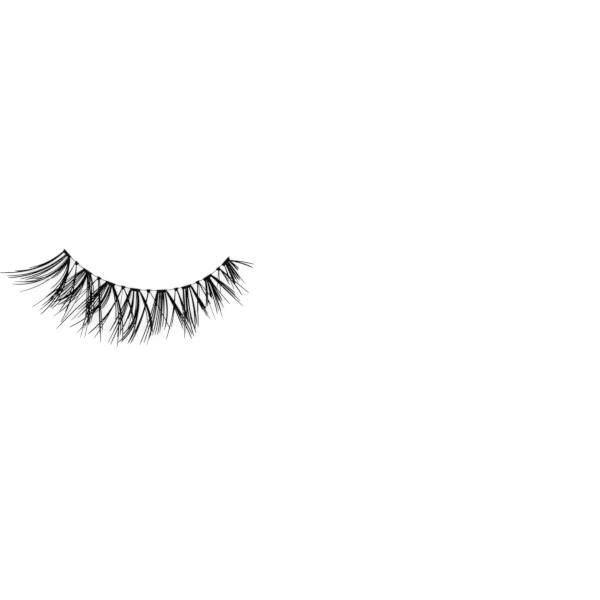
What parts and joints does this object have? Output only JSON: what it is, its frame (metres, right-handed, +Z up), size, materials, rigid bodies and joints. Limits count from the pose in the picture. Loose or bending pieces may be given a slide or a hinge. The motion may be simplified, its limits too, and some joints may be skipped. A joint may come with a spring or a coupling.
{
  "type": "false eyelash strip",
  "caption": "False eyelash strip: tufts of curled black hair knotted along a thin clear thread, long and swept out at the outer corner, short at the inner corner.",
  "frame": {"origin": "on the surface that the strip lies on, under the middle of its bounding box", "axes": "+X from the outer corner of the eye to the inner corner, +Y towards the lid side of the thread with the hairs towards -Y, +Z up off the surface"},
  "size_m": [0.0448, 0.0174, 0.0043],
  "materials": {
    "hair": "black synthetic fibre, softly shiny",
    "thread": "clear nylon, smooth"
  },
  "bodies": {
    "root": {"band_thread": "thread", "tuft_01": "hair", "tuft_02": "hair", "tuft_03": "hair", "tuft_04": "hair", "tuft_05": "hair", "tuft_06": "hair", "tuft_07": "hair", "tuft_08": "hair", "tuft_09": "hair", "tuft_10": "hair", "tuft_11": "hair", "tuft_12": "hair", "tuft_13": "hair", "tuft_14": "hair", "tuft_15": "hair"}
  },
  "joints": []
}
